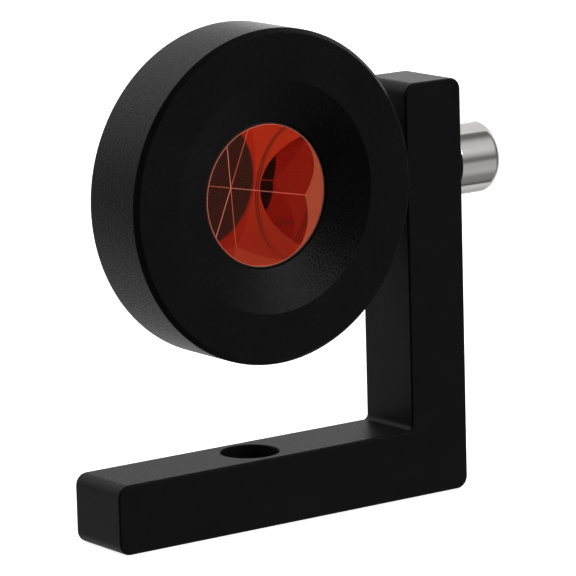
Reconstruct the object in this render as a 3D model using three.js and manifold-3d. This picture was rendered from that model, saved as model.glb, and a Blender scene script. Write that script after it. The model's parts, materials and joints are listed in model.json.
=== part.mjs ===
// L-bar survey prism: a one inch glass corner cube in a round head that tilts on an L-shaped bracket.
// Millimetres, +Z up. The origin is on the bracket's underside, midway through its depth, right below
// the upright. -Y is the way the prism looks, and +X runs out along the clamp screw.
import * as THREE from "three";
import { mergeVertices } from "three/addons/utils/BufferGeometryUtils.js";
import Module from "manifold-3d";

const wasm = await Module();
wasm.setup();

// ---------------------------------------------------------------- driving dimensions

const FIT = 0.1; // clearance between two pieces that seat on each other

const BAR_THICKNESS = 12.6; // of the upright and of the foot
const BAR_DEPTH = 14;
const BRACKET_HEIGHT = 76.7;
const BRACKET_LENGTH = 77.4;
const BRACKET_CORNER = 2.2; // radius of the outline's outer corners
const BRACKET_INNER_CORNER = 1;
const EDGE_BREAK = 0.4; // chamfer along the bracket's edges
const FOOT_HOLE_RADIUS = 5.35; // clears an M10 bolt
const FOOT_HOLE_COUNTERSINK = 0.3;

const AXIS_HEIGHT = 60.3; // tilt axis above the underside
const HEAD_RADIUS = 30;
const HEAD_GAP = 1.7; // between the head's rim and the upright
const HEAD_FRONT = -10.6; // front and back planes of the head along Y
const HEAD_BACK = 4;
const HEAD_CHAMFERS = [0.85, 0.5]; // on the head's outer edges, front and back
const CONE_MOUTH_RADIUS = 20.8;
const WINDOW_RADIUS = 13.15; // where the cone meets the window's bore
const CONE_FLOOR = -7.5;
const LIP_BACK = -6.3; // back of the lip that the cell seats on
const CELL_BORE_RADIUS = 15.3;

const GLASS_RADIUS = 12.7; // one inch glass
const GLASS_HEIGHT = 18.8; // front face to apex
const GLASS_FRONT = -7.36;
const GLASS_BEVEL = 0.2;
const GLASS_ROLL = -9.8; // degrees about the optical axis

const SEAL_RECESS = 0.1; // the front seal's lip stands this far behind the glass face
const SEAL_FLANGE = 0.4; // thickness
const CELL_SLIDE_FIT = 0.2; // radial, between the cell and its bore
const CELL_BACK = 2.6;
const GLUE_LINE = 0.15; // radial, between the glass and the cell
const RETAINER_BACK = 3.9;
const SPANNER_SLOT = { width: 2, depth: 0.5 }; // in the retaining ring

const O_RING_RADIUS = 17.15; // centre line
const O_RING_SECTION = 1; // thickness of the cord
const O_RING_GROOVE = 1.5; // width
const COVER_RADIUS = 22.8;
const COVER_FLANGE = 2; // thickness
const COVER_END = 14; // outer face of the cover's end along Y
const COVER_WALL = 1.6;
const COVER_CONE_RADII = [16.8, 10.6]; // outside, at the flange and at the end
const COVER_BORE = { mouth: 14, straight: 1.1, narrowing: 2 }; // inside: radius, depth, and less at the end
const COVER_EDGE = { flange: 0.4, end: 1 };
const COVER_SCREWS = 4;
const COVER_SCREW_CIRCLE = 19.8; // radius of the circle the screws stand on
const COVER_SCREW = { shank: 1.2, head: 2.3, length: 6, socket: 1.5 }; // radii, length, across flats
const COVER_SCREW_RECESS = 0.1; // its head lies this far below the flange
const TAPPING_DEPTH = 4.6; // in the head's back
const CUSHION = { radius: 13.7, endRadius: 11.1, start: 0.4, straight: 0.8, length: 4, clear: 0.65 };

const SCREW_RADIUS = 2.45; // M5 clamp screw
const SCREW_REACH = 17.8; // tip, measured from the upright's middle plane
const KNOB_RADIUS = 6.65;
const KNOB_START = 0.3; // clearance to the upright's face
const KNOB_LENGTH = 9.8;
const KNOB_ROUND = 2; // radius of the knob's outer edge
const KNOB_NEAR_ROUND = 0.4;
const SCREW_PILOT_RADIUS = 4.7; // the boss that turns in the counterbore
const SCREW_TIP = 0.8; // chamfer
const KNOB_SOCKET = { across: 6, depth: 5 }; // hexagon socket
const COUNTERBORE = { radius: 5.3, depth: 3.6 };
const BUSH = { outer: 3.6, inner: 2.65 };
const WASHER = { outer: 5, inner: 2.7, thickness: 0.8 };
const DISC_SPRING = { thickness: 0.45, cone: 0.3 };
const SEAT = { radius: 5.2, depth: 0.8 }; // flat milled in the head's rim, open to the back
const THREAD_HOLE = { radius: 2.6, depth: 10 };

const ROUND = 72; // segments round the large turned pieces
const SMALL_ROUND = 36;
const TINY_ROUND = 16;

// ---------------------------------------------------------------- places worked out from them

const faceX = BAR_THICKNESS / 2; // the upright's outer face
const headX = -(faceX + HEAD_GAP + HEAD_RADIUS); // the head's own axis
const footEndX = faceX - BRACKET_LENGTH;
const glassApex = GLASS_FRONT + GLASS_HEIGHT;
const counterboreFloor = faceX - COUNTERBORE.depth;
const seatX = headX + HEAD_RADIUS - SEAT.depth;

// ---------------------------------------------------------------- shape helpers

const degrees = THREE.MathUtils.degToRad;

// Points along an arc from one angle to another, in degrees, about a centre.
function arc([x, y], radius, from, to, steps) {
  return Array.from({ length: steps + 1 }, (_, i) => {
    const angle = degrees(from + ((to - from) * i) / steps);
    return [x + radius * Math.cos(angle), y + radius * Math.sin(angle)];
  });
}

// A turned piece about the Y axis. The profile is [radius, y] points, anticlockwise.
function turned(profile, segments, closed = true) {
  const points = profile.map(([radius, y]) => new THREE.Vector2(radius, y));
  if (closed) points.push(points[0].clone());
  return new THREE.LatheGeometry(points, segments);
}

// A plain round bar or hole from y = from to y = to.
function rod(radius, from, to, segments) {
  return turned([[0, from], [radius, from], [radius, to], [0, to]], segments, false);
}

// A ring with square edges.
function ring(inner, outer, from, to, segments) {
  return turned([[inner, from], [outer, from], [outer, to], [inner, to]], segments);
}

// A hexagonal bar from y = from to y = to, with a flat facing +X.
function hexagon(acrossFlats, from, to) {
  return rod(acrossFlats / Math.sqrt(3), from, to, 6);
}

// Turns a piece made about the Y axis so that its +Y end points along +X.
function alongX(geometry) {
  return geometry.rotateZ(-Math.PI / 2);
}

// Turns a piece made about the Y axis so that its +Y end points along +Z.
function alongZ(geometry) {
  return geometry.rotateX(Math.PI / 2);
}

function toSolid(geometry) {
  const bare = geometry.clone();
  bare.deleteAttribute("normal");
  bare.deleteAttribute("uv");
  const merged = mergeVertices(bare, 1e-4);
  const vertProperties = merged.attributes.position.array;
  const triVerts = new Uint32Array(merged.index.array);
  return new wasm.Manifold(new wasm.Mesh({ numProp: 3, vertProperties, triVerts }));
}

function toGeometry(solid) {
  const mesh = solid.getMesh();
  const geometry = new THREE.BufferGeometry();
  geometry.setAttribute("position", new THREE.BufferAttribute(mesh.vertProperties, 3));
  geometry.setIndex(new THREE.BufferAttribute(mesh.triVerts, 1));
  return geometry;
}

// The blank with every cutter taken away.
function cut(blank, ...cutters) {
  return toGeometry(cutters.reduce((left, tool) => left.subtract(toSolid(tool)), toSolid(blank)));
}

// What two pieces have in common.
function common(a, b) {
  return toGeometry(toSolid(a).intersect(toSolid(b)));
}

// A closed outline of [x, y, corner radius] corners, all of them right angles.
function roundedOutline(corners) {
  const shape = new THREE.Shape();
  corners.forEach(([x, y, radius], i) => {
    const corner = new THREE.Vector2(x, y);
    const towards = (other) => new THREE.Vector2(other[0], other[1]).sub(corner).normalize();
    const back = towards(corners.at(i - 1)).multiplyScalar(radius);
    const ahead = towards(corners[(i + 1) % corners.length]).multiplyScalar(radius);
    const centre = corner.clone().add(back).add(ahead);
    const clockwise = back.cross(ahead) > 0;
    const from = ahead.clone().negate().angle();
    const to = back.clone().negate().angle();
    shape.absarc(centre.x, centre.y, radius, from, to, clockwise);
  });
  return shape;
}

// ---------------------------------------------------------------- materials

function material(color, roughness, metalness) {
  return new THREE.MeshStandardMaterial({ color, roughness, metalness });
}

const blackAnodised = () => material(0x18191b, 0.55, 0.5);
const stainless = () => material(0xb4b4b2, 0.3, 1);
const springSteel = () => material(0x6e7073, 0.35, 1);
const blackScrew = () => material(0x222326, 0.4, 0.8);
const blackSilicone = () => material(0x0c0c0d, 0.8, 0);
const bronze = () => material(0x9a6b3a, 0.4, 1);
const nylon = () => material(0xe6e2d6, 0.6, 0);
const copperCoatedGlass = () => material(0xa03018, 0.08, 0.3);

function part(name, geometry, look) {
  const mesh = new THREE.Mesh(geometry, look);
  mesh.name = name;
  return mesh;
}

// ---------------------------------------------------------------- bracket

// A drill for a through hole along Y with a small countersink at both faces.
function drill(radius, from, to, countersink) {
  const past = 1;
  return turned(
    [
      [0, from - past],
      [radius + countersink + past, from - past],
      [radius, from + countersink],
      [radius, to - countersink],
      [radius + countersink + past, to + past],
      [0, to + past],
    ],
    SMALL_ROUND,
    false,
  );
}

function bracket() {
  const outline = roundedOutline([
    [faceX, 0, BRACKET_CORNER],
    [faceX, BRACKET_HEIGHT, BRACKET_CORNER],
    [-faceX, BRACKET_HEIGHT, BRACKET_CORNER],
    [-faceX, BAR_THICKNESS, BRACKET_INNER_CORNER],
    [footEndX, BAR_THICKNESS, BRACKET_CORNER],
    [footEndX, 0, BRACKET_CORNER],
  ]);
  const blank = new THREE.ExtrudeGeometry(outline, {
    depth: BAR_DEPTH - 2 * EDGE_BREAK,
    bevelThickness: EDGE_BREAK,
    bevelSize: EDGE_BREAK,
    bevelOffset: -EDGE_BREAK,
    bevelSegments: 1,
    curveSegments: 8,
  });
  blank.rotateX(Math.PI / 2).translate(0, BAR_DEPTH / 2 - EDGE_BREAK, 0);
  const footHole = alongZ(drill(FOOT_HOLE_RADIUS, 0, BAR_THICKNESS, FOOT_HOLE_COUNTERSINK));
  footHole.translate(headX, 0, 0);
  const bushBore = alongX(rod(BUSH.outer + FIT, -faceX - 1, faceX, SMALL_ROUND));
  const counterbore = alongX(rod(COUNTERBORE.radius, counterboreFloor, faceX + 1, SMALL_ROUND));
  bushBore.translate(0, 0, AXIS_HEIGHT);
  counterbore.translate(0, 0, AXIS_HEIGHT);
  return part("l_bracket", cut(blank, footHole, bushBore, counterbore), blackAnodised());
}

// ---------------------------------------------------------------- pivot, all about the tilt axis

function pivotBush() {
  const sleeve = ring(BUSH.inner, BUSH.outer, -faceX + FIT, counterboreFloor - FIT, SMALL_ROUND);
  return part("pivot_bush", alongX(sleeve), bronze());
}

// A flat washer in the counterbore.
function flatWasher(name, from) {
  const { inner, outer, thickness } = WASHER;
  return part(name, alongX(ring(inner, outer, from, from + thickness, SMALL_ROUND)), stainless());
}

// A conical spring washer. It opens towards +X, or towards -X when it is turned over.
function discSpring(name, from, turnedOver) {
  const { thickness, cone } = DISC_SPRING;
  const { inner, outer } = WASHER;
  const [atBore, atRim] = turnedOver ? [cone, 0] : [0, cone];
  const profile = [
    [inner, from + atBore],
    [outer, from + atRim],
    [outer, from + atRim + thickness],
    [inner, from + atBore + thickness],
  ];
  return part(name, alongX(turned(profile, SMALL_ROUND)), springSteel());
}

function clampScrew(pilotX) {
  const knobX = faceX + KNOB_START;
  const endX = knobX + KNOB_LENGTH;
  const profile = [
    [0, -SCREW_REACH],
    [SCREW_RADIUS - SCREW_TIP, -SCREW_REACH],
    [SCREW_RADIUS, -SCREW_REACH + SCREW_TIP],
    [SCREW_RADIUS, pilotX],
    [SCREW_PILOT_RADIUS, pilotX],
    [SCREW_PILOT_RADIUS, knobX],
    ...arc([KNOB_RADIUS - KNOB_NEAR_ROUND, knobX + KNOB_NEAR_ROUND], KNOB_NEAR_ROUND, -90, 0, 2),
    ...arc([KNOB_RADIUS - KNOB_ROUND, endX - KNOB_ROUND], KNOB_ROUND, 0, 90, 5),
    [0, endX],
  ];
  const socket = hexagon(KNOB_SOCKET.across, endX - KNOB_SOCKET.depth, endX + 1);
  const screw = cut(turned(profile, SMALL_ROUND, false), socket);
  return part("clamp_screw", alongX(screw), stainless());
}

// The friction washer sits on the flat in the head's rim and bears on the upright.
function frictionWasher() {
  const washer = ring(WASHER.inner, WASHER.outer, seatX + FIT, -faceX - FIT, SMALL_ROUND);
  return part("friction_washer", alongX(washer), nylon());
}

function pivot() {
  const group = new THREE.Group();
  const springHeight = DISC_SPRING.thickness + DISC_SPRING.cone;
  const springSeatX = counterboreFloor + FIT / 2;
  const firstSpringX = springSeatX + WASHER.thickness + FIT / 2;
  const secondSpringX = firstSpringX + springHeight + FIT / 2;
  const pressureX = secondSpringX + springHeight + FIT / 2;
  group.add(
    pivotBush(),
    flatWasher("spring_seat_washer", springSeatX),
    discSpring("disc_spring_1", firstSpringX, false),
    discSpring("disc_spring_2", secondSpringX, true),
    flatWasher("pressure_washer", pressureX),
    clampScrew(pressureX + WASHER.thickness + FIT),
    frictionWasher(),
  );
  return group;
}

// ---------------------------------------------------------------- head, all about the optical axis

// Places a piece made about the head's axis at one of the cover screws.
function atScrew(geometry, index) {
  const angle = degrees(45 + (360 / COVER_SCREWS) * index);
  return geometry.translate(COVER_SCREW_CIRCLE * Math.cos(angle), 0, COVER_SCREW_CIRCLE * Math.sin(angle));
}

// One piece for each cover screw.
function forEachScrew(make) {
  return Array.from({ length: COVER_SCREWS }, (_, index) => make(index));
}

function headHousing() {
  const [front, back] = HEAD_CHAMFERS;
  const groove = O_RING_GROOVE / 2;
  const blank = turned(
    [
      [WINDOW_RADIUS, CONE_FLOOR],
      [CONE_MOUTH_RADIUS, HEAD_FRONT],
      [HEAD_RADIUS - front, HEAD_FRONT],
      [HEAD_RADIUS, HEAD_FRONT + front],
      [HEAD_RADIUS, HEAD_BACK - back],
      [HEAD_RADIUS - back, HEAD_BACK],
      [O_RING_RADIUS + groove, HEAD_BACK],
      [O_RING_RADIUS + groove, HEAD_BACK - O_RING_SECTION],
      [O_RING_RADIUS - groove, HEAD_BACK - O_RING_SECTION],
      [O_RING_RADIUS - groove, HEAD_BACK],
      [CELL_BORE_RADIUS, HEAD_BACK],
      [CELL_BORE_RADIUS, LIP_BACK],
      [WINDOW_RADIUS, LIP_BACK],
    ],
    ROUND,
  );
  const rim = HEAD_RADIUS - SEAT.depth;
  const seatEnd = alongX(rod(SEAT.radius, rim, HEAD_RADIUS + 1, SMALL_ROUND));
  const seatSlot = new THREE.BoxGeometry(2, HEAD_RADIUS, 2 * SEAT.radius);
  seatSlot.translate(rim + 1, HEAD_RADIUS / 2, 0);
  const thread = alongX(rod(THREAD_HOLE.radius, rim - THREAD_HOLE.depth, HEAD_RADIUS + 1, SMALL_ROUND));
  const tapRadius = COVER_SCREW.shank + FIT;
  const tapped = (index) =>
    atScrew(rod(tapRadius, HEAD_BACK - TAPPING_DEPTH, HEAD_BACK + 1, TINY_ROUND), index);
  const housing = cut(blank, seatEnd, seatSlot, thread, ...forEachScrew(tapped));
  return part("head_housing", housing, blackAnodised());
}

// An L-section ring: its neck fills the gap round the glass, its flange is nipped behind the lip.
function frontSeal() {
  const inner = GLASS_RADIUS + FIT / 2;
  const neck = WINDOW_RADIUS - FIT / 2;
  const flange = CELL_BORE_RADIUS - 3 * FIT;
  const lip = GLASS_FRONT + SEAL_RECESS;
  const flangeFront = LIP_BACK + FIT;
  const flangeBack = flangeFront + SEAL_FLANGE;
  const profile = [
    [inner, lip],
    [neck, lip],
    [neck, flangeFront],
    [flange, flangeFront],
    [flange, flangeBack],
    [inner, flangeBack],
  ];
  return part("front_seal", turned(profile, ROUND), blackSilicone());
}

// A round glass blank that ends in the corner of a cube, so that its three back faces are square
// to each other and send light back the way it came.
function prismGlass() {
  const blank = turned(
    [
      [0, GLASS_FRONT],
      [GLASS_RADIUS - GLASS_BEVEL, GLASS_FRONT],
      [GLASS_RADIUS, GLASS_FRONT + GLASS_BEVEL],
      [GLASS_RADIUS, glassApex + 1],
      [0, glassApex + 1],
    ],
    ROUND,
    false,
  );
  const side = 4 * GLASS_RADIUS;
  const cube = new THREE.BoxGeometry(side, side, side).translate(side / 2, side / 2, side / 2);
  const [x, y, z] = [0, 120, 240].map((turn) => {
    const angle = degrees(GLASS_ROLL + turn);
    const edge = new THREE.Vector3(Math.SQRT2 * Math.cos(angle), -1, Math.SQRT2 * Math.sin(angle));
    return edge.divideScalar(Math.sqrt(3));
  });
  cube.applyMatrix4(new THREE.Matrix4().makeBasis(x, y, z)).translate(0, glassApex, 0);
  return part("prism_glass", common(blank, cube), copperCoatedGlass());
}

// The glass is bonded in the cell, which slides into the housing from behind.
function prismCell() {
  const front = LIP_BACK + SEAL_FLANGE + 2 * FIT;
  const outer = CELL_BORE_RADIUS - CELL_SLIDE_FIT;
  const tube = ring(GLASS_RADIUS + GLUE_LINE, outer, front, CELL_BACK, ROUND);
  return part("prism_cell", tube, blackAnodised());
}

function retainingRing() {
  const outer = CELL_BORE_RADIUS - CELL_SLIDE_FIT;
  const inner = GLASS_RADIUS + GLUE_LINE + FIT;
  const blank = ring(inner, outer, CELL_BACK + FIT, RETAINER_BACK, ROUND);
  const { width, depth } = SPANNER_SLOT;
  const slots = new THREE.BoxGeometry(3 * outer, 2 * depth, width).translate(0, RETAINER_BACK, 0);
  return part("retaining_ring", cut(blank, slots), blackAnodised());
}

// A soft ring between the cover and the coated faces of the glass.
function prismCushion() {
  const front = HEAD_BACK + CUSHION.start;
  const back = front + CUSHION.length;
  const atEdges = (y) => Math.SQRT2 * (glassApex - y) + CUSHION.clear; // just outside the cube's edges
  const profile = [
    [atEdges(front), front],
    [CUSHION.radius, front],
    [CUSHION.radius, front + CUSHION.straight],
    [CUSHION.endRadius, back],
    [atEdges(back), back],
  ];
  return part("prism_cushion", turned(profile, SMALL_ROUND), blackSilicone());
}

function rearSeal() {
  const radius = O_RING_SECTION / 2;
  const profile = arc([O_RING_RADIUS, HEAD_BACK - radius + FIT / 2], radius, 0, 315, 7);
  return part("rear_seal", turned(profile, SMALL_ROUND), blackSilicone());
}

function rearCover() {
  const front = HEAD_BACK + FIT;
  const flangeBack = front + COVER_FLANGE;
  const [coneBase, coneEnd] = COVER_CONE_RADII;
  const { mouth, straight, narrowing } = COVER_BORE;
  const { flange: edge, end: endEdge } = COVER_EDGE;
  const blank = turned(
    [
      [0, COVER_END - COVER_WALL],
      [coneEnd - narrowing, COVER_END - COVER_WALL],
      [mouth, front + straight],
      [mouth, front],
      [COVER_RADIUS - edge, front],
      [COVER_RADIUS, front + edge],
      [COVER_RADIUS, flangeBack - edge],
      [COVER_RADIUS - edge, flangeBack],
      [coneBase, flangeBack],
      [coneEnd, COVER_END - endEdge],
      [coneEnd - endEdge, COVER_END],
      [0, COVER_END],
    ],
    ROUND,
    false,
  );
  const { shank, head } = COVER_SCREW;
  const hole = (index) =>
    atScrew(
      turned(
        [
          [0, front - 1],
          [shank + FIT, front - 1],
          [shank + FIT, flangeBack - (head - shank)],
          [head + FIT, flangeBack],
          [head + FIT, flangeBack + 1],
          [0, flangeBack + 1],
        ],
        TINY_ROUND,
        false,
      ),
      index,
    );
  return part("rear_cover", cut(blank, ...forEachScrew(hole)), blackAnodised());
}

// A countersunk screw with a hexagon socket, flush with the cover's flange.
function coverScrew(index) {
  const { shank, head, length, socket } = COVER_SCREW;
  const top = HEAD_BACK + FIT + COVER_FLANGE - COVER_SCREW_RECESS;
  const blank = turned(
    [
      [0, top - length],
      [shank, top - length],
      [shank, top - (head - shank)],
      [head, top],
      [0, top],
    ],
    TINY_ROUND,
    false,
  );
  const screw = cut(blank, hexagon(socket, top - 1, top + 1));
  return part(`cover_screw_${index + 1}`, atScrew(screw, index), blackScrew());
}

function head() {
  const group = new THREE.Group();
  group.add(
    headHousing(),
    frontSeal(),
    prismGlass(),
    prismCell(),
    retainingRing(),
    prismCushion(),
    rearSeal(),
    rearCover(),
    ...forEachScrew(coverScrew),
  );
  return group;
}

// ---------------------------------------------------------------- assembly

const surveyPrism = new THREE.Group();
const pivotGroup = pivot();
pivotGroup.position.set(0, 0, AXIS_HEIGHT);
const headGroup = head();
headGroup.position.set(headX, 0, AXIS_HEIGHT);
surveyPrism.add(bracket(), pivotGroup, headGroup);

export default surveyPrism;
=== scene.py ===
"""The looks of an L-bar survey prism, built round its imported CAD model. Metres, in the CAD frame:
+Z up, -Y the way the prism looks, +X out along the clamp screw."""

import json
from math import cos, pi, radians, sin, sqrt

import bmesh
import bpy
from mathutils import Matrix, Vector


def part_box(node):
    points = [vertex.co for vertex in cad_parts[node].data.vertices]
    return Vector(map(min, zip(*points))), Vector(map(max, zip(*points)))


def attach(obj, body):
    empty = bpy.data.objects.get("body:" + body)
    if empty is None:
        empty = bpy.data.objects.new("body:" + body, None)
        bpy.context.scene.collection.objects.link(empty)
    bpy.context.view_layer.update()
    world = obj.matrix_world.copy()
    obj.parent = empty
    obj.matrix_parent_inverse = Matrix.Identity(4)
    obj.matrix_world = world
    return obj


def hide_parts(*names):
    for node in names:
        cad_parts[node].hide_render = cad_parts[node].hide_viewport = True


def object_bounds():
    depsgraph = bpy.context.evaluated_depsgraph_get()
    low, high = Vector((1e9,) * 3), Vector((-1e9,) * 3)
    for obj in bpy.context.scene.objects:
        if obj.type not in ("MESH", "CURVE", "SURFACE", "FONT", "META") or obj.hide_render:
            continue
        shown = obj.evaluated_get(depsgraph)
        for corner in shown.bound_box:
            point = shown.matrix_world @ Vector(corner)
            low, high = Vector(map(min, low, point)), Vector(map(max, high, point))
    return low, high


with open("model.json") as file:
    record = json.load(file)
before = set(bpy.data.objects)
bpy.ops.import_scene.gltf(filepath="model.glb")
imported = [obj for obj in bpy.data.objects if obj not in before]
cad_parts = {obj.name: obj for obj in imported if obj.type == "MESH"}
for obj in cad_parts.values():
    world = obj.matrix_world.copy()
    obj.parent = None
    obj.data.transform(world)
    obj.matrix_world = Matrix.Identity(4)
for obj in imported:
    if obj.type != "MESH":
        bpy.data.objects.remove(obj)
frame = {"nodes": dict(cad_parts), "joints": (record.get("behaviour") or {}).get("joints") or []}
cad_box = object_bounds()

# ---------------------------------------------------------------- places, from the frame

MM = 0.001
X_AXIS = Vector((1, 0, 0))
Y_AXIS = Vector((0, 1, 0))
Z_AXIS = Vector((0, 0, 1))

bracket_low, bracket_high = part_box("l_bracket")
housing_low, housing_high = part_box("head_housing")
cover_low, cover_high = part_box("rear_cover")
glass_low, glass_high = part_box("prism_glass")
screw_low, screw_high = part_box("clamp_screw")
washer_low, washer_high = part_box("friction_washer")
seal_low, seal_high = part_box("front_seal")

tilt_joint = next(joint for joint in frame["joints"] if joint["name"] == "head_tilt")
pivot = Vector(tilt_joint["pos_m"])
head_radius = (housing_high.z - housing_low.z) / 2
head_axis = Vector((housing_low.x + head_radius, 0, pivot.z))  # a point on the axis of the round head
glass_radius = (glass_high.x - glass_low.x) / 2
bar_thickness = 2 * bracket_high.x

# ---------------------------------------------------------------- sizes the boxes don't give

# A size round an axis is a radius, unless it says that it is across.
FIT = 0.1 * MM  # clearance between pieces that fit together

BRACKET_CORNER = 2.2 * MM
BRACKET_INNER_CORNER = 1 * MM
BRACKET_EDGE = 0.4 * MM
FOOT_HOLE_RADIUS = 5.35 * MM
HOLE_EDGE = 0.25 * MM
BUSH_BORE = 3.7 * MM
COUNTERBORE_RADIUS = 5.3 * MM
COUNTERBORE_DEPTH = 3.6 * MM

HEAD_FRONT_CHAMFER = 0.85 * MM
HEAD_BACK_CHAMFER = 0.5 * MM
FINE_EDGE = 0.12 * MM
CONE_MOUTH_RADIUS = 20.8 * MM
WINDOW_RADIUS = 13.15 * MM
CONE_FLOOR = -7.5 * MM  # this and the next are places along Y
LIP_BACK = -6.3 * MM
CELL_BORE_RADIUS = 15.3 * MM
O_RING_RADIUS = 17.15 * MM
O_RING_GROOVE_WIDTH = 1.5 * MM
O_RING_GROOVE_DEPTH = 1 * MM
SEAT_RADIUS = 5.2 * MM
SEAT_DEPTH = 0.8 * MM
THREAD_RADIUS = 2.6 * MM
THREAD_DEPTH = 10 * MM
TAP_RADIUS = 1.3 * MM
TAP_DEPTH = 4.6 * MM

GLASS_INDEX = 1.5168
GLASS_BEVEL = 0.06 * MM
GLASS_ROLL = radians(-9.8)
GLASS_RIM = 0.5 * MM  # the darkened edge of the side, next to the front
GLASS_LIT_ANGLE = radians(-142)  # of the lit side, round the head's axis from +X
GLASS_LIT_SIDE = Vector((cos(GLASS_LIT_ANGLE), 0, sin(GLASS_LIT_ANGLE)))
GLASS_LINE = 0.16 * MM  # width of the thin ground faces along the cube's three edges
SAME_WAY = 0.9999  # cosine of the angle from a direction, above which a face looks that way
EDGE_ON = 0.01  # and below which it is edge on to it

COVER_FLANGE = 2 * MM
COVER_WALL = 1.6 * MM
COVER_CONE_BASE = 16.8 * MM
COVER_CONE_END = 10.6 * MM
COVER_END_ROUND = 1 * MM
COVER_BORE = 14 * MM
COVER_BORE_STRAIGHT = 1.1 * MM
COVER_BORE_END = 8.6 * MM
COVER_SCREWS = 4
COVER_SCREW_START = radians(45)  # where the first is, round from +X
COVER_SCREW_CIRCLE = 19.8 * MM
COVER_SCREW_SHANK = 1.2 * MM
COVER_SCREW_HEAD = 2.3 * MM
COVER_SCREW_EDGE = 0.1 * MM
COVER_SCREW_SOCKET_ACROSS = 1.5 * MM
COVER_SCREW_SOCKET_DEPTH = 1.2 * MM
COVER_SCREW_LENGTH = 6 * MM

SCREW_RADIUS = 2.45 * MM
SCREW_TIP = 0.8 * MM
SCREW_PILOT_RADIUS = 4.7 * MM
SCREW_PILOT_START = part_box("pressure_washer")[1].x + FIT
KNOB_GAP = 0.3 * MM
KNOB_ROUND = 2 * MM
KNOB_NEAR_ROUND = 0.4 * MM
KNOB_SOCKET_ACROSS = 6 * MM
KNOB_SOCKET_DEPTH = 5 * MM
KNOB_SOCKET_CHAMFER = 0.1 * MM  # past the hexagon's corners

WASHER_BORE = 2.7 * MM
WASHER_EDGE = 0.15 * MM

ROUND = 256  # segments round the head
SMALL_ROUND = 128  # round the holes and the clamp screw
TINY_ROUND = 48  # round the cover screws
SMOOTH_ANGLE = radians(32)

# ---------------------------------------------------------------- mesh helpers


def arc(centre, radius, start, end, steps=6):
    """Points along an arc in a profile, from one angle to another in degrees."""
    angles = [radians(start + (end - start) * i / steps) for i in range(steps + 1)]
    return [(centre[0] + radius * cos(a), centre[1] + radius * sin(a)) for a in angles]


def new_object(name, bm):
    """Turns a finished bmesh into an object in the scene."""
    mesh = bpy.data.meshes.new(name)
    bmesh.ops.recalc_face_normals(bm, faces=bm.faces)
    bm.to_mesh(mesh)
    bm.free()
    piece = bpy.data.objects.new(name, mesh)
    bpy.context.scene.collection.objects.link(piece)
    return piece


def turned(name, profile, axis, centre, segments=ROUND):
    """A piece turned about an axis through centre. The profile's points are (radius, place along the
    axis). It starts and ends on the axis, or else it closes on itself."""
    side = axis.orthogonal().normalized()
    up = axis.cross(side)
    turns = [2 * pi * i / segments for i in range(segments)]
    spokes = [cos(turn) * side + sin(turn) * up for turn in turns]
    bm = bmesh.new()
    rings = []
    for radius, place in profile:
        middle = centre + axis * place
        around = [middle + radius * spoke for spoke in spokes] if radius else [middle]
        rings.append([bm.verts.new(point) for point in around])
    if profile[0][0]:
        rings.append(rings[0])
    for near, far in zip(rings, rings[1:]):
        for i in range(segments):
            corners = [near[i % len(near)], near[(i + 1) % len(near)]]
            corners += [far[(i + 1) % len(far)], far[i % len(far)]]
            bm.faces.new(dict.fromkeys(corners))  # a point on the axis is in the face once
    return new_object(name, bm)


def rod(radius, start, end, axis, centre, segments=SMALL_ROUND):
    """A plain round cutter, or with six segments a hexagon."""
    profile = [(0, start), (radius, start), (radius, end), (0, end)]
    return turned("cutter", profile, axis, centre, segments)


def drill(radius, start, end, edge, axis, centre):
    """A cutter for a through hole whose two mouths are rounded by edge."""
    past = 1 * MM
    mouth = arc((radius + edge, start + edge), edge, 270, 180)
    exit_mouth = arc((radius + edge, end - edge), edge, 180, 90)
    profile = [(0, start - past), (radius + edge, start - past), *mouth]
    profile += [*exit_mouth, (radius + edge, end + past), (0, end + past)]
    return turned("cutter", profile, axis, centre, SMALL_ROUND)


def block(low, high):
    """A plain square cutter."""
    bm = bmesh.new()
    size = Vector(high) - Vector(low)
    to_middle = Matrix.Translation(Vector(low) + size / 2)
    bmesh.ops.create_cube(bm, size=1, matrix=to_middle @ Matrix.Diagonal((*size, 1)))
    return new_object("cutter", bm)


def cut(piece, cutter):
    """Takes the cutter's shape out of a piece, and does away with the cutter."""
    modifier = piece.modifiers.new("cut", "BOOLEAN")
    modifier.operation = "DIFFERENCE"
    modifier.solver = "EXACT"
    modifier.object = cutter
    whole = piece.evaluated_get(bpy.context.evaluated_depsgraph_get())
    blank = piece.data
    piece.data = bpy.data.meshes.new_from_object(whole)
    piece.modifiers.clear()
    bpy.data.meshes.remove(blank)
    bpy.data.objects.remove(cutter)


def smooth(mesh):
    """Smooth shading, with every edge sharper than the limit left crisp."""
    mesh.shade_smooth()
    mesh.set_sharp_from_angle(angle=SMOOTH_ANGLE)


def place(piece, body, slot, node, *materials):
    """Shades a finished piece, gives it its looks, and lets it stand for a CAD node on a body."""
    smooth(piece.data)
    weighted = piece.modifiers.new("weighted_normal", "WEIGHTED_NORMAL")
    weighted.keep_sharp = True
    for look in materials:
        piece.data.materials.append(look)
    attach(piece, body)
    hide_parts(node)


# ---------------------------------------------------------------- material helpers

# The colour sockets of a Mix node, which shares their names among its kinds of data.
MIX_A, MIX_B, MIX_RESULT = 6, 7, 2


def add_node(tree, kind, inputs=(), **settings):
    """A new node in a tree, each of whose inputs is linked to a socket or given a value."""
    made = tree.nodes.new(kind)
    for key, value in settings.items():
        setattr(made, key, value)
    for socket, value in dict(inputs).items():
        if isinstance(value, bpy.types.NodeSocket):
            tree.links.new(value, made.inputs[socket])
        else:
            made.inputs[socket].default_value = value
    return made


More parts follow.
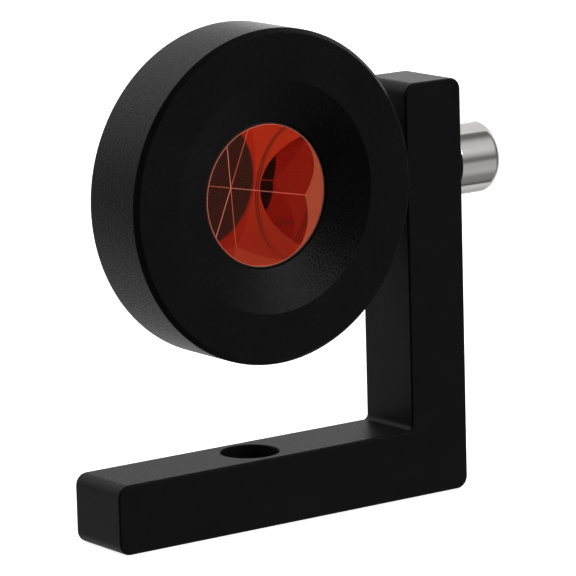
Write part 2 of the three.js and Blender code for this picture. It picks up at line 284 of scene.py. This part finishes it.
class Look:
    """A node material on one Principled shader. Sizes are in millimetres."""

    def __init__(self, name, **constants):
        self.material = bpy.data.materials.new(name)
        self.material.use_nodes = True
        self.tree = self.material.node_tree
        self.shader = self.tree.nodes["Principled BSDF"]
        for socket, value in constants.items():
            self.shader.inputs[socket.replace("_", " ")].default_value = value
        self.position = self.node("ShaderNodeTexCoord").outputs["Object"]
        self.normal = None

    def node(self, kind, inputs=(), **settings):
        return add_node(self.tree, kind, inputs, **settings)

    def link(self, value, socket):
        """Drives one of the shader's own inputs."""
        self.tree.links.new(value, self.shader.inputs[socket])

    def noise(self, size, detail=2.0, stretch=(1, 1, 1)):
        """Noise with features of about this size, drawn out along any axis whose stretch is under 1."""
        inputs = {0: self.position, 1: stretch}
        vector = self.node("ShaderNodeVectorMath", inputs, operation="MULTIPLY").outputs[0]
        inputs = {"Vector": vector, "Scale": 1 / (size * MM), "Detail": detail}
        return self.node("ShaderNodeTexNoise", inputs).outputs["Fac"]

    def spread(self, factor, low, high, start=0.3, end=0.7):
        """Spreads start to end, which is a noise's middle range unless stated, over low to high."""
        inputs = {"Value": factor, "From Min": start, "From Max": end, "To Min": low, "To Max": high}
        return self.node("ShaderNodeMapRange", inputs).outputs[0]

    def colour(self, factor, dark, light, socket="Base Color"):
        inputs = {"Factor": factor, MIX_A: (*dark, 1), MIX_B: (*light, 1)}
        mix = self.node("ShaderNodeMix", inputs, data_type="RGBA")
        self.link(mix.outputs[MIX_RESULT], socket)

    def roughness(self, factor, low, high):
        self.link(self.spread(factor, low, high), "Roughness")

    def bump(self, factor, depth, strength=1.0):
        """Adds relief of this depth in millimetres to what is there."""
        inputs = {"Height": factor, "Distance": depth * MM, "Strength": strength}
        if self.normal:
            inputs["Normal"] = self.normal
        self.normal = self.node("ShaderNodeBump", inputs).outputs[0]
        self.link(self.normal, "Normal")


def anodised(name, grain, depth, rough):
    """Black anodising over blasted aluminium: fine pebbles on a coarser unevenness, faintly mottled."""
    look = Look(name, Specular_IOR_Level=0.085)
    mottle = look.noise(7, detail=4)
    pebbles = look.noise(grain, detail=3)
    look.colour(look.spread(mottle, 0, 1), (0.007, 0.007, 0.0073), (0.01, 0.01, 0.0103))
    look.roughness(pebbles, rough - 0.08, rough + 0.08)
    look.bump(look.noise(3 * grain, detail=2), depth, 0.3)
    look.bump(pebbles, depth)
    return look.material


def turned_steel(name, colour, along):
    """Bright turned steel, with fine lines round the axis that it was turned about."""
    look = Look(name, Metallic=1.0)
    lines = look.noise(0.09, detail=4, stretch=along)
    look.colour(look.noise(1.5, detail=5), [0.93 * c for c in colour], colour)
    look.roughness(lines, 0.1, 0.17)
    look.bump(lines, 0.0004)
    return look.material


def plain_metal(name, colour, rough):
    look = Look(name, Metallic=1.0)
    look.colour(look.noise(1.2, detail=5), [0.85 * c for c in colour], colour)
    look.roughness(look.noise(0.4, detail=4), rough - 0.06, rough + 0.06)
    look.bump(look.noise(0.25, detail=3), 0.003)
    return look.material


def plastic(name, dark, light, rough):
    look = Look(name, Specular_IOR_Level=0.4)
    look.colour(look.noise(2.5, detail=4), dark, light)
    look.roughness(look.noise(0.8, detail=3), rough - 0.06, rough + 0.06)
    look.bump(look.noise(0.3, detail=3), 0.004)
    return look.material


def front_glass():
    """Clear glass whose antireflection coating takes most of the reflection away."""
    coating = (0.05, 0.04, 0.04, 1)
    look = Look("optical_glass_polished", IOR=GLASS_INDEX, Transmission_Weight=1.0, Roughness=0.0)
    look.shader.inputs["Specular Tint"].default_value = coating
    look.colour(look.noise(6), (0.985, 0.99, 0.985), (1, 1, 1))
    return look.material


def copper_mirror():
    look = Look("copper_coating_on_polish", Metallic=1.0, Roughness=0.0)
    look.colour(look.noise(5, detail=3), (0.83, 0.46, 0.37), (0.86, 0.49, 0.4))
    return look.material


def ground_glass(name, dark, light, glow, bright_glow):
    """Ground glass, whose painted glow stands in for the light that scatters about inside the prism:
    brighter on the side that the light falls on."""
    look = Look(name, Specular_IOR_Level=0.3, Emission_Strength=1.0)
    inputs = {0: look.position, 1: head_axis}
    from_axis = look.node("ShaderNodeVectorMath", inputs, operation="SUBTRACT").outputs[0]
    inputs = {0: from_axis, 1: GLASS_LIT_SIDE}
    towards_light = look.node("ShaderNodeVectorMath", inputs, operation="DOT_PRODUCT").outputs["Value"]
    look.colour(look.spread(towards_light, 0, 1, 0, glass_radius), glow, bright_glow, "Emission Color")
    look.colour(look.noise(0.5, detail=5), dark, light)
    look.roughness(look.noise(0.3), 0.7, 0.9)
    look.bump(look.noise(0.12, detail=3), 0.004)
    return look.material


black_bracket = anodised("black_anodised_bar", 0.34, 0.035, 0.42)
black_head = anodised("black_anodised_turned_blasted", 0.31, 0.09, 0.28)
black_cover = anodised("black_anodised_cover", 0.36, 0.05, 0.36)
black_inside = anodised("black_anodised_inside", 0.25, 0.006, 0.55)
bright_steel = turned_steel("stainless_turned", (0.66, 0.65, 0.64), (1, 0.02, 0.02))
washer_steel = plain_metal("stainless_washer", (0.6, 0.6, 0.59), 0.3)
spring_steel = plain_metal("spring_steel", (0.28, 0.28, 0.3), 0.32)
screw_steel = plain_metal("black_oxide_steel", (0.045, 0.045, 0.05), 0.36)
bronze = plain_metal("bearing_bronze", (0.58, 0.36, 0.16), 0.36)
nylon = plastic("natural_nylon", (0.62, 0.58, 0.48), (0.7, 0.66, 0.56), 0.45)
silicone = plastic("black_silicone", (0.006, 0.006, 0.006), (0.011, 0.011, 0.011), 0.6)
polished_glass = front_glass()
copper = copper_mirror()
# Painted light: these glows on the ground side, edges and rim stand in for light scattered inside the
# prism.
side_glows = (0.265, 0.05, 0.023), (0.395, 0.07, 0.022)
line_glows = [(0.42, 0.14, 0.1)] * 2
rim_glows = [(0.15, 0.024, 0.011)] * 2
ground_side = ground_glass("ground_glass_side", (0.4, 0.1, 0.06), (0.5, 0.14, 0.08), *side_glows)
ground_line = ground_glass("ground_glass_edge", (0.4, 0.2, 0.15), (0.5, 0.25, 0.2), *line_glows)
ground_rim = ground_glass("ground_glass_rim", (0.02, 0.008, 0.006), (0.03, 0.01, 0.008), *rim_glows)

# ---------------------------------------------------------------- bracket


def outline(corners, inset, steps):
    """Points round an outline that is moved in by inset. Its corners are (x, z, radius), square and
    anticlockwise."""
    points = []
    for i, (x, z, radius) in enumerate(corners):
        corner = Vector((x, z))
        back = (Vector(corners[i - 1][:2]) - corner).normalized()
        ahead = (Vector(corners[(i + 1) % len(corners)][:2]) - corner).normalized()
        outside = back.cross(ahead) < 0
        shift = inset if outside else -inset
        centre = corner + (back + ahead) * radius
        rounding = radius - shift
        for step in range(steps + 1):
            angle = pi / 2 * step / steps
            points.append(centre - rounding * (ahead * cos(angle) + back * sin(angle)))
    return points


def bracket():
    """The L-shaped bar: one outline swept through its depth, with rounded edges front and back."""
    face, length, height = bracket_high.x, bracket_low.x, bracket_high.z
    corners = [
        (face, 0, BRACKET_CORNER),
        (face, height, BRACKET_CORNER),
        (-face, height, BRACKET_CORNER),
        (-face, bar_thickness, BRACKET_INNER_CORNER),
        (length, bar_thickness, BRACKET_CORNER),
        (length, 0, BRACKET_CORNER),
    ]
    corner_steps, edge_steps = 10, 5
    near = arc((bracket_low.y + BRACKET_EDGE, 0), BRACKET_EDGE, 180, 90, edge_steps)
    far = arc((bracket_high.y - BRACKET_EDGE, 0), BRACKET_EDGE, 90, 0, edge_steps)
    bm = bmesh.new()
    rings = []
    for depth, rise in near + far:
        points = outline(corners, BRACKET_EDGE - rise, corner_steps)
        rings.append([bm.verts.new((point.x, depth, point.y)) for point in points])
    for front, back in zip(rings, rings[1:]):
        for i in range(len(front)):
            bm.faces.new((front[i - 1], front[i], back[i], back[i - 1]))
    bm.faces.new(rings[0])
    bm.faces.new(rings[-1])
    piece = new_object("l_bracket_machined", bm)
    below_glass = Vector((head_axis.x, 0, 0))
    cut(piece, drill(FOOT_HOLE_RADIUS, 0, bar_thickness, HOLE_EDGE, Z_AXIS, below_glass))
    cut(piece, rod(BUSH_BORE, -2 * face, face, X_AXIS, pivot))
    cut(piece, rod(COUNTERBORE_RADIUS, face - COUNTERBORE_DEPTH, 2 * face, X_AXIS, pivot))
    place(piece, "bracket", "black_anodised_bracket", "l_bracket", black_bracket)


# ---------------------------------------------------------------- head


def at_cover_screw(index):
    """The point where the axis of one of the cover screws crosses the plane of the head's tilt axis."""
    angle = COVER_SCREW_START + 2 * pi / COVER_SCREWS * index
    return head_axis + COVER_SCREW_CIRCLE * Vector((cos(angle), 0, sin(angle)))


def housing():
    """The round head: a shallow cone down to the window, and a stepped bore behind it."""
    front, back, rim = housing_low.y, housing_high.y, head_radius
    front_chamfer, back_chamfer = HEAD_FRONT_CHAMFER, HEAD_BACK_CHAMFER
    soft = FINE_EDGE / 2
    groove = O_RING_GROOVE_WIDTH / 2
    profile = [
        (WINDOW_RADIUS, CONE_FLOOR + FINE_EDGE),
        (WINDOW_RADIUS + FINE_EDGE, CONE_FLOOR),
        (CONE_MOUTH_RADIUS - FINE_EDGE, front + soft),
        (CONE_MOUTH_RADIUS + FINE_EDGE, front),
        (rim - front_chamfer - soft, front),
        (rim - front_chamfer + soft, front + soft),
        (rim - soft, front + front_chamfer - soft),
        (rim, front + front_chamfer + soft),
        (rim, back - back_chamfer - soft),
        (rim - soft, back - back_chamfer + soft),
        (rim - back_chamfer + soft, back - soft),
        (rim - back_chamfer - soft, back),
        (O_RING_RADIUS + groove, back),
        (O_RING_RADIUS + groove, back - O_RING_GROOVE_DEPTH),
        (O_RING_RADIUS - groove, back - O_RING_GROOVE_DEPTH),
        (O_RING_RADIUS - groove, back),
        (CELL_BORE_RADIUS, back),
        (CELL_BORE_RADIUS, LIP_BACK),
        (WINDOW_RADIUS, LIP_BACK),
    ]
    piece = turned("head_housing_turned", profile, Y_AXIS, head_axis)
    seat = head_axis.x + rim - SEAT_DEPTH
    past = 2 * MM
    low = (seat, 0, pivot.z - SEAT_RADIUS)
    high = (seat + past, back + past, pivot.z + SEAT_RADIUS)
    cut(piece, rod(SEAT_RADIUS, seat, seat + past, X_AXIS, pivot))
    cut(piece, block(low, high))
    cut(piece, rod(THREAD_RADIUS, seat - THREAD_DEPTH, seat + past, X_AXIS, pivot))
    for index in range(COVER_SCREWS):
        centre = at_cover_screw(index)
        cut(piece, rod(TAP_RADIUS, back - TAP_DEPTH, back + past, Y_AXIS, centre, TINY_ROUND))
    place(piece, "head", "black_anodised_head", "head_housing", black_head)


def front_seal():
    """A soft sleeve round the front of the glass, with a rounded lip and a flange behind the window."""
    inner = glass_radius + FIT / 2
    outer = WINDOW_RADIUS - FIT / 2
    flange = (seal_high.x - seal_low.x) / 2
    lip, back = seal_low.y, seal_high.y
    flange_front = LIP_BACK + FIT
    bead = (outer - inner) / 2
    profile = [
        *arc(((inner + outer) / 2, lip + bead), bead, 180, 360, 8),
        (outer, flange_front),
        (flange, flange_front),
        (flange, back),
        (inner, back),
    ]
    piece = turned("front_seal_moulded", profile, Y_AXIS, head_axis)
    place(piece, "head", "black_silicone", "front_seal", silicone)


def prism():
    """The round glass blank, cut by three planes square to each other that meet behind it. Its front is
    polished, its side and its edges are ground, and its three back faces carry the copper mirror."""
    front = glass_low.y
    apex = head_axis + Y_AXIS * glass_high.y
    blank_end = apex.y + 1 * MM
    profile = [
        (0, front),
        (glass_radius - GLASS_BEVEL, front),
        (glass_radius, front + GLASS_BEVEL),
        (glass_radius, front + GLASS_RIM),
        (glass_radius, blank_end),
        (0, blank_end),
    ]
    piece = turned("prism_glass_cut", profile, Y_AXIS, head_axis)
    bm = bmesh.new()
    bm.from_mesh(piece.data)
    turns = [GLASS_ROLL + 2 * pi / 3 * i for i in range(3)]
    facets = [Vector((-sqrt(2) * cos(turn), 1, -sqrt(2) * sin(turn))) / sqrt(3) for turn in turns]
    for normal in facets:
        geometry = [*bm.verts, *bm.edges, *bm.faces]
        plane = {"plane_co": apex, "plane_no": normal}
        sliced = bmesh.ops.bisect_plane(bm, geom=geometry, clear_outer=True, **plane)
        open_edges = [item for item in sliced["geom_cut"] if isinstance(item, bmesh.types.BMEdge)]
        bmesh.ops.holes_fill(bm, edges=open_edges, sides=0)
    bmesh.ops.recalc_face_normals(bm, faces=bm.faces)

    def facet_of(face):
        return next((i for i, normal in enumerate(facets) if face.normal.dot(normal) > SAME_WAY), None)

    ridges = []
    for edge in bm.edges:
        sides = {facet_of(face) for face in edge.link_faces}
        if len(sides) == 2 and None not in sides:
            ridges.append(edge)
    bmesh.ops.bevel(bm, geom=ridges, offset=GLASS_LINE / 2, segments=1, affect="EDGES", profile=0.5)
    polished, mirror, side, line, rim = range(5)
    for face in bm.faces:
        if facet_of(face) is not None:
            face.material_index = mirror
        elif face.normal.y < -SAME_WAY:
            face.material_index = polished
        elif abs(face.normal.y) < EDGE_ON:
            face.material_index = rim if face.calc_center_median().y < front + GLASS_RIM else side
        else:
            face.material_index = line
    bm.to_mesh(piece.data)
    bm.free()
    looks = (polished_glass, copper, ground_side, ground_line, ground_rim)
    place(piece, "head", "copper_coated_glass", "prism_glass", *looks)


def rear_cover():
    """A screwed flange and a hollow cone with a flat end, over the tip of the glass."""
    front, end = cover_low.y, cover_high.y
    radius = (cover_high.x - cover_low.x) / 2
    flange_back = front + COVER_FLANGE
    edge = 0.4 * MM
    fillet = 0.6 * MM
    profile = [
        (0, end - COVER_WALL),
        (COVER_BORE_END, end - COVER_WALL),
        (COVER_BORE, front + COVER_BORE_STRAIGHT),
        (COVER_BORE, front),
        *arc((radius - edge, front + edge), edge, -90, 0, 4),
        *arc((radius - edge, flange_back - edge), edge, 0, 90, 4),
        (COVER_CONE_BASE + fillet, flange_back),
        (COVER_CONE_BASE + fillet / 4, flange_back + fillet / 4),
        (COVER_CONE_BASE - fillet / 3, flange_back + fillet),
        *arc((COVER_CONE_END - COVER_END_ROUND, end - COVER_END_ROUND), COVER_END_ROUND, 30, 90, 6),
        (0, end),
    ]
    piece = turned("rear_cover_turned", profile, Y_AXIS, head_axis)
    shank, head = COVER_SCREW_SHANK + FIT, COVER_SCREW_HEAD + FIT
    past = 1 * MM
    for index in range(COVER_SCREWS):
        hole = [(0, front - past), (shank, front - past), (shank, flange_back - (head - shank))]
        hole += [(head, flange_back), (head, flange_back + past), (0, flange_back + past)]
        cut(piece, turned("cutter", hole, Y_AXIS, at_cover_screw(index), TINY_ROUND))
    place(piece, "head", "black_anodised_cover", "rear_cover", black_cover)


def cover_screw(index):
    """A countersunk screw with a hexagon socket."""
    name = f"cover_screw_{index + 1}"
    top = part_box(name)[1].y
    shank, head, edge = COVER_SCREW_SHANK, COVER_SCREW_HEAD, COVER_SCREW_EDGE
    start = top - COVER_SCREW_LENGTH
    past = 1 * MM
    profile = [(0, start), (shank - 2 * edge, start), (shank, start + 2 * edge)]
    profile += [(shank, top - (head - shank)), (head, top - edge), (head - edge, top), (0, top)]
    centre = at_cover_screw(index)
    piece = turned(f"{name}_countersunk", profile, Y_AXIS, centre, TINY_ROUND)
    corner = COVER_SCREW_SOCKET_ACROSS / sqrt(3)
    cut(piece, rod(corner, top - COVER_SCREW_SOCKET_DEPTH, top + past, Y_AXIS, centre, 6))
    place(piece, "head", "black_screw_steel", name, screw_steel)


# ---------------------------------------------------------------- pivot and clamp


def clamp_screw():
    """The stainless screw and its knob, one turned piece with a hexagon socket in its end."""
    start, end = screw_low.x, screw_high.x
    radius = (screw_high.z - screw_low.z) / 2
    knob = bracket_high.x + KNOB_GAP
    profile = [
        (0, start),
        (SCREW_RADIUS - SCREW_TIP, start),
        (SCREW_RADIUS, start + SCREW_TIP),
        (SCREW_RADIUS, SCREW_PILOT_START),
        (SCREW_PILOT_RADIUS, SCREW_PILOT_START),
        (SCREW_PILOT_RADIUS, knob),
        *arc((radius - KNOB_NEAR_ROUND, knob + KNOB_NEAR_ROUND), KNOB_NEAR_ROUND, -90, 0),
        *arc((radius - KNOB_ROUND, end - KNOB_ROUND), KNOB_ROUND, 0, 90, 12),
        (0, end),
    ]
    piece = turned("clamp_screw_turned", profile, X_AXIS, pivot, SMALL_ROUND)
    corner = KNOB_SOCKET_ACROSS / sqrt(3)
    past = 1 * MM
    mouth = corner + KNOB_SOCKET_CHAMFER
    cone = [(0, end - mouth), (mouth + past, end + past), (0, end + past)]
    cut(piece, rod(corner, end - KNOB_SOCKET_DEPTH, end + past, X_AXIS, pivot, 6))
    cut(piece, turned("cutter", cone, X_AXIS, pivot, SMALL_ROUND))
    place(piece, "clamp", "brushed_stainless", "clamp_screw", bright_steel)


def friction_washer():
    """A plain nylon ring with rounded edges."""
    outer, inner = (washer_high.z - washer_low.z) / 2, WASHER_BORE
    low, high, edge = washer_low.x, washer_high.x, WASHER_EDGE
    profile = [
        *arc((inner + edge, low + edge), edge, 180, 270, 3),
        *arc((outer - edge, low + edge), edge, 270, 360, 3),
        *arc((outer - edge, high - edge), edge, 0, 90, 3),
        *arc((inner + edge, high - edge), edge, 90, 180, 3),
    ]
    piece = turned("friction_washer_moulded", profile, X_AXIS, pivot, SMALL_ROUND)
    place(piece, "head", "nylon", "friction_washer", nylon)


# The pieces inside, whose CAD shapes are right as they are.
INNER_LOOKS = {
    "pivot_bush": bronze,
    "spring_seat_washer": washer_steel,
    "disc_spring_1": spring_steel,
    "disc_spring_2": spring_steel,
    "pressure_washer": washer_steel,
    "prism_cell": black_inside,
    "retaining_ring": black_inside,
    "prism_cushion": silicone,
    "rear_seal": silicone,
}


def inner_pieces():
    """Gives the pieces inside their looks, without touching their shapes."""
    for name, look in INNER_LOOKS.items():
        mesh = frame["nodes"][name].data
        mesh.materials.clear()
        mesh.materials.append(look)
        smooth(mesh)


# ---------------------------------------------------------------- studio

FLOOR_SIZE = 40.0
FLOOR_DROP = 0.02 * MM
FLOOR_WHITE = 0.9
FLOOR_GLOW = 0.85  # lifts the floor to the white of the world

AMBIENT = 0.02
# Soft lights on the studio's walls: direction from the object, outer and inner half angle in degrees,
# and brightness. A grey card takes light away.
SOFT_LIGHTS = [
    ((0.0, 1.0, 0.0), 91, 87, 0.85),  # a white sweep behind, which ends straight overhead
    ((-0.65, 0.75, 0.0), 35, 5, -0.46),  # a grey card at the left of the sweep
    ((-0.3, 0.75, 0.6), 40, 10, 0.58),  # high behind, to the left
    ((0.574, -0.645, 0.504), 30, 0, 0.55),  # high in front, to the right
    ((0.75, -0.6, 0.25), 62, 40, 0.17),  # the wall at the right
    ((0.6, -0.2, -0.775), 40, 10, 0.25),  # the table, below and to the right
    ((0.47, 0.32, -0.82), 34, 5, -0.33),  # a grey card on the table
    ((0.3, 0.8, -0.5), 35, 5, -0.22),  # a grey card below the sweep
    ((0.38, -0.82, 0.43), 8, 3, 19.0),  # a small lamp in front, a little high
    ((-0.57, -0.8, 0.19), 16, 8, 0.03),  # the dim room in front, which the prism sends back
]
# The lit part of the table in front of the object. It fades in as a ray's height goes from the first of
# the two below to the second.
TABLE_LIGHT = ((0.574, -0.77, -0.28), 29, 5, 0.35)
TABLE_EDGE = (-0.05, -0.17)


def studio_world():
    """White to the camera. To all other light, a dark room with soft lights round the object."""
    world = bpy.data.worlds.new("studio")
    bpy.context.scene.world = world
    world.use_nodes = True
    tree = world.node_tree
    tree.nodes.clear()

    def node(kind, inputs=(), **settings):
        return add_node(tree, kind, inputs, **settings)

    direction = node("ShaderNodeTexCoord").outputs["Generated"]

    def lobe(towards, outer, inner, brightness):
        aim = Vector(towards).normalized()
        facing = node("ShaderNodeVectorMath", {0: direction, 1: aim}, operation="DOT_PRODUCT")
        reach = {"Value": facing.outputs["Value"], "To Max": brightness}
        reach |= {"From Min": cos(radians(outer)), "From Max": cos(radians(inner))}
        return node("ShaderNodeMapRange", reach, interpolation_type="SMOOTHSTEP").outputs[0]

    height = node("ShaderNodeSeparateXYZ", {0: direction}).outputs["Z"]
    fade = {"Value": height, "From Min": TABLE_EDGE[0], "From Max": TABLE_EDGE[1]}
    below = node("ShaderNodeMapRange", fade).outputs[0]
    total = AMBIENT
    for light in SOFT_LIGHTS:
        total = node("ShaderNodeMath", {0: total, 1: lobe(*light)}, operation="ADD").outputs[0]
    table = {0: below, 1: lobe(*TABLE_LIGHT), 2: total}
    total = node("ShaderNodeMath", table, operation="MULTIPLY_ADD").outputs[0]
    lights = node("ShaderNodeBackground", {"Color": total, "Strength": 1.0})
    white = node("ShaderNodeBackground", {"Color": (1, 1, 1, 1), "Strength": 1.0})
    seen = node("ShaderNodeLightPath").outputs["Is Camera Ray"]
    mixed = node("ShaderNodeMixShader", {0: seen, 1: lights.outputs[0], 2: white.outputs[0]})
    node("ShaderNodeOutputWorld", {"Surface": mixed.outputs[0]})


def floor():
    """White to the camera, and clear to all other light, as the studio sends some from below."""
    bm = bmesh.new()
    bmesh.ops.create_grid(bm, x_segments=8, y_segments=8, size=FLOOR_SIZE / 2)
    sheet = new_object("studio_floor", bm)
    sheet.location = (0, 0, cad_box[0].z - FLOOR_DROP)
    look = Look("studio_floor", Specular_IOR_Level=0.1, Emission_Strength=FLOOR_GLOW, Roughness=0.8)
    look.shader.inputs["Emission Color"].default_value = (1, 1, 1, 1)
    look.colour(look.noise(900), [0.99 * FLOOR_WHITE] * 3, [FLOOR_WHITE] * 3)
    clear = look.node("ShaderNodeBsdfTransparent")
    seen = look.node("ShaderNodeLightPath").outputs["Is Camera Ray"]
    shades = {0: seen, 1: clear.outputs[0], 2: look.shader.outputs[0]}
    either = look.node("ShaderNodeMixShader", shades)
    look.tree.links.new(either.outputs[0], look.tree.nodes["Material Output"].inputs["Surface"])
    sheet.data.materials.append(look.material)


NEAR_LIGHT_PLACE = Vector((92, 134, 122)) * MM
NEAR_LIGHT_SIZE = 60 * MM
NEAR_LIGHT_POWER = 0.01

MIRROR_BOUNCES = 10  # three trips through the corner cube, off three mirrors each, and one to spare

CAMERA_AZIMUTH = radians(-35.71)  # round from straight in front, towards -X
CAMERA_ELEVATION = radians(11.05)
CAMERA_ROLL = radians(-1.56)
CAMERA_DISTANCE = 771.4 * MM
CAMERA_LENS = 267.6  # this and the sensor's width are in millimetres, as Blender has them
CAMERA_SENSOR = 36
CAMERA_CLIP = (0.01, 100)
CAMERA_AIM = Vector((-28.53, 0, 41.3)) * MM


def near_light():
    """A soft light behind the top of the object, near enough to light its top more than its foot."""
    lamp = bpy.data.lights.new("near_light", "AREA")
    lamp.shape = "DISK"
    lamp.size = NEAR_LIGHT_SIZE
    lamp.energy = NEAR_LIGHT_POWER
    light = bpy.data.objects.new("near_light", lamp)
    bpy.context.scene.collection.objects.link(light)
    towards = bracket_high - NEAR_LIGHT_PLACE
    light.location = NEAR_LIGHT_PLACE
    light.rotation_euler = towards.to_track_quat("-Z", "Y").to_euler()
    light.visible_camera = False


def camera():
    """The photo's own view, from a camera fitted to the object's outline."""
    level, rise = cos(CAMERA_ELEVATION), sin(CAMERA_ELEVATION)
    back = Vector((sin(CAMERA_AZIMUTH) * level, -cos(CAMERA_AZIMUTH) * level, rise))
    right = Vector((cos(CAMERA_AZIMUTH), sin(CAMERA_AZIMUTH), 0))
    turn = Matrix((right, back.cross(right), back)).transposed().to_4x4()
    data = bpy.data.cameras.new("camera")
    data.sensor_width = CAMERA_SENSOR
    data.lens = CAMERA_LENS
    data.clip_start, data.clip_end = CAMERA_CLIP
    view = bpy.data.objects.new("camera", data)
    bpy.context.scene.collection.objects.link(view)
    stand = Matrix.Translation(CAMERA_AIM + back * CAMERA_DISTANCE)
    view.matrix_world = stand @ turn @ Matrix.Rotation(CAMERA_ROLL, 4, "Z")
    bpy.context.scene.camera = view


bpy.context.scene.view_settings.view_transform = "Standard"
bpy.context.scene.cycles.glossy_bounces = MIRROR_BOUNCES
bpy.context.scene.cycles.max_bounces = 2 * MIRROR_BOUNCES
studio_world()
floor()
near_light()
camera()
bracket()
housing()
front_seal()
prism()
rear_cover()
for number in range(COVER_SCREWS):
    cover_screw(number)
clamp_screw()
friction_washer()
inner_pieces()
